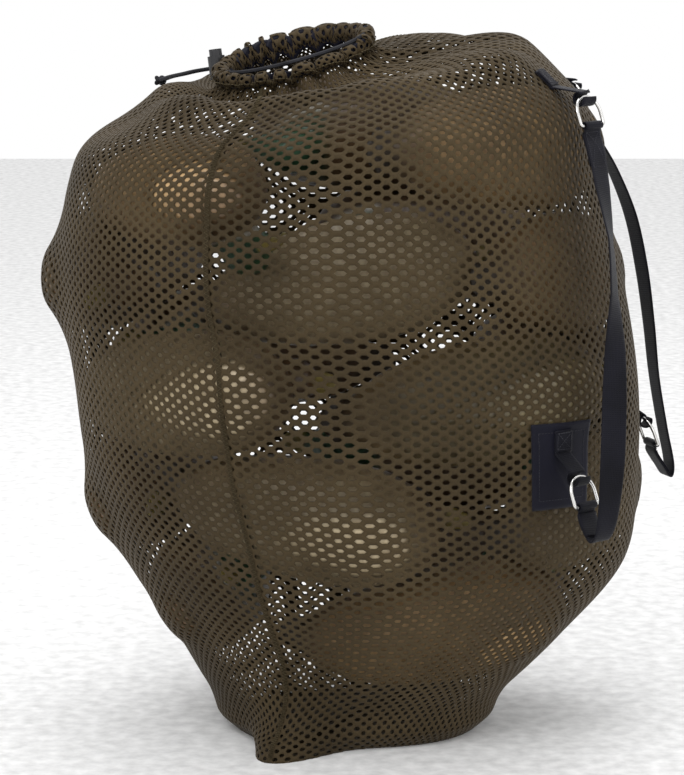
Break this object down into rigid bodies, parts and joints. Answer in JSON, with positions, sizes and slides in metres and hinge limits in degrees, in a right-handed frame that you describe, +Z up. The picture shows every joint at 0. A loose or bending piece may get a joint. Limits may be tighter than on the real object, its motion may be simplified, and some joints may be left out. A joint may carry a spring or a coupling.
{
  "type": "mesh ball bag",
  "caption": "Tall mesh sack with a gathered drawcord mouth, a sliding cord lock and two webbing shoulder straps on D-rings, packed full of hollow plastic duck decoys.",
  "frame": {"origin": "middle of the bounding box at the floor", "axes": "+Z up through the mouth, +X towards the strap side, +Y to the back of the pictured view"},
  "size_m": [0.666, 0.4754, 0.7391],
  "materials": {
    "net": "open knitted polyester net",
    "seam": "folded and overlocked net",
    "cord": "braided nylon cord",
    "lock": "moulded, fine grain",
    "spring": "spring wire",
    "webbing": "flat woven nylon webbing",
    "steel": "nickel plated",
    "nylon": "coated pack cloth",
    "decoy_plastic": "blow moulded, painted"
  },
  "bodies": {
    "sack": {"strap_side_panel": "net", "plain_panel": "net", "front_seam": "seam", "back_seam": "seam", "bottom_seam": "seam", "mouth_casing": "seam", "drawcord_loop": "cord", "drawcord_tail_a": "cord", "drawcord_tail_b": "cord", "tail_knot": "cord", "near_upper_tab": "webbing", "near_lower_tab": "webbing", "near_patch": "nylon", "far_upper_tab": "webbing", "far_lower_tab": "webbing", "far_patch": "nylon", "decoy_01": "decoy_plastic", "decoy_02": "decoy_plastic", "decoy_03": "decoy_plastic", "decoy_04": "decoy_plastic", "decoy_05": "decoy_plastic", "decoy_06": "decoy_plastic", "decoy_07": "decoy_plastic", "decoy_08": "decoy_plastic", "decoy_09": "decoy_plastic", "decoy_10": "decoy_plastic", "decoy_11": "decoy_plastic", "decoy_12": "decoy_plastic", "decoy_13": "decoy_plastic", "decoy_14": "decoy_plastic", "decoy_15": "decoy_plastic", "decoy_16": "decoy_plastic", "decoy_17": "decoy_plastic", "decoy_18": "decoy_plastic"},
    "near_upper_ring_body": {"near_upper_ring": "steel"},
    "near_lower_ring_body": {"near_lower_ring": "steel"},
    "near_strap_body": {"near_strap": "webbing"},
    "far_upper_ring_body": {"far_upper_ring": "steel"},
    "far_lower_ring_body": {"far_lower_ring": "steel"},
    "far_strap_body": {"far_strap": "webbing"},
    "cord_lock": {"cord_lock_body": "lock", "cord_lock_spring": "spring"},
    "lock_button": {"cord_lock_button": "lock"}
  },
  "joints": [
    {"name": "near_ring_swing", "type": "hinge", "parent": "sack", "child": "near_upper_ring_body", "pos_m": [0.21561, -0.10073, 0.67206], "axis": [-0.7193, -0.6947, 0], "range_deg": [0, 72]},
    {"name": "near_strap_lift", "type": "hinge", "parent": "near_upper_ring_body", "child": "near_strap_body", "pos_m": [0.22341, -0.10881, 0.64425], "axis": [-0.7193, -0.6947, 0], "range_deg": [-72, 0]},
    {"name": "near_lower_ring_swing", "type": "hinge", "parent": "sack", "child": "near_lower_ring_body", "pos_m": [0.20737, -0.19524, 0.30406], "axis": [-0.7193, -0.6947, 0], "range_deg": [0, 72]},
    {"name": "far_ring_swing", "type": "hinge", "parent": "sack", "child": "far_upper_ring_body", "pos_m": [0.21801, 0.10297, 0.66998], "axis": [0.3584, -0.9336, 0], "range_deg": [0, 72]},
    {"name": "far_strap_lift", "type": "hinge", "parent": "far_upper_ring_body", "child": "far_strap_body", "pos_m": [0.2285, 0.107, 0.64216], "axis": [0.3584, -0.9336, 0], "range_deg": [-72, 0]},
    {"name": "far_lower_ring_swing", "type": "hinge", "parent": "sack", "child": "far_lower_ring_body", "pos_m": [0.29752, 0.08376, 0.31101], "axis": [0.3584, -0.9336, 0], "range_deg": [0, 72]},
    {"name": "cord_lock_slide", "type": "slide", "parent": "sack", "child": "cord_lock", "axis": [-0.7595, 0.6293, -0.1644], "range_m": [0, 0.02]},
    {"name": "button_press", "type": "slide", "parent": "cord_lock", "child": "lock_button", "axis": [0.1266, -0.1049, -0.9864], "range_m": [0, 0.003], "stiffness_N_per_m": 300, "deforming": ["cord_lock_spring"]}
  ],
  "couplings": [
    {"joint": "near_strap_lift", "follows": "near_ring_swing", "ratio": -1},
    {"joint": "near_lower_ring_swing", "follows": "near_ring_swing", "ratio": 1},
    {"joint": "far_strap_lift", "follows": "far_ring_swing", "ratio": -1},
    {"joint": "far_lower_ring_swing", "follows": "far_ring_swing", "ratio": 1}
  ]
}
